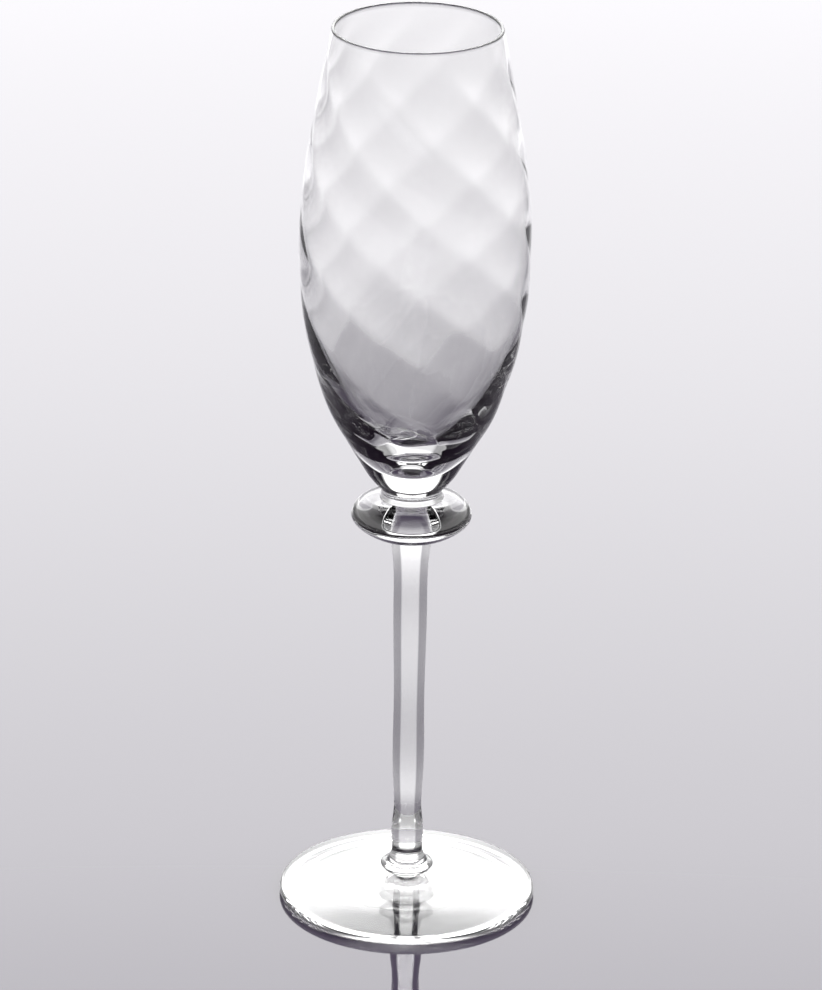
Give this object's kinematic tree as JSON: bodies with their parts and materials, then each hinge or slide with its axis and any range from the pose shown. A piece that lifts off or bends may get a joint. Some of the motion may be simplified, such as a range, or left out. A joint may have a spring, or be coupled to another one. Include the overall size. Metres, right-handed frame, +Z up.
{
  "type": "champagne flute",
  "caption": "Tall clear glass flute: spirally ribbed tulip bowl with a thick base on a round flattened knop, a slender plain stem and a shallow domed round foot.",
  "frame": {"origin": "centre of the circle that the foot rests on, in the plane of the table", "axes": "+Z up along the stem to the mouth; -Y is the front; +X to the right seen from the front"},
  "size_m": [0.07, 0.07, 0.2488],
  "materials": {
    "clear_glass": "clear, fire polished"
  },
  "bodies": {
    "root": {"foot": "clear_glass", "foot_merese": "clear_glass", "stem": "clear_glass", "knop": "clear_glass", "neck": "clear_glass", "bowl": "clear_glass"}
  },
  "joints": []
}
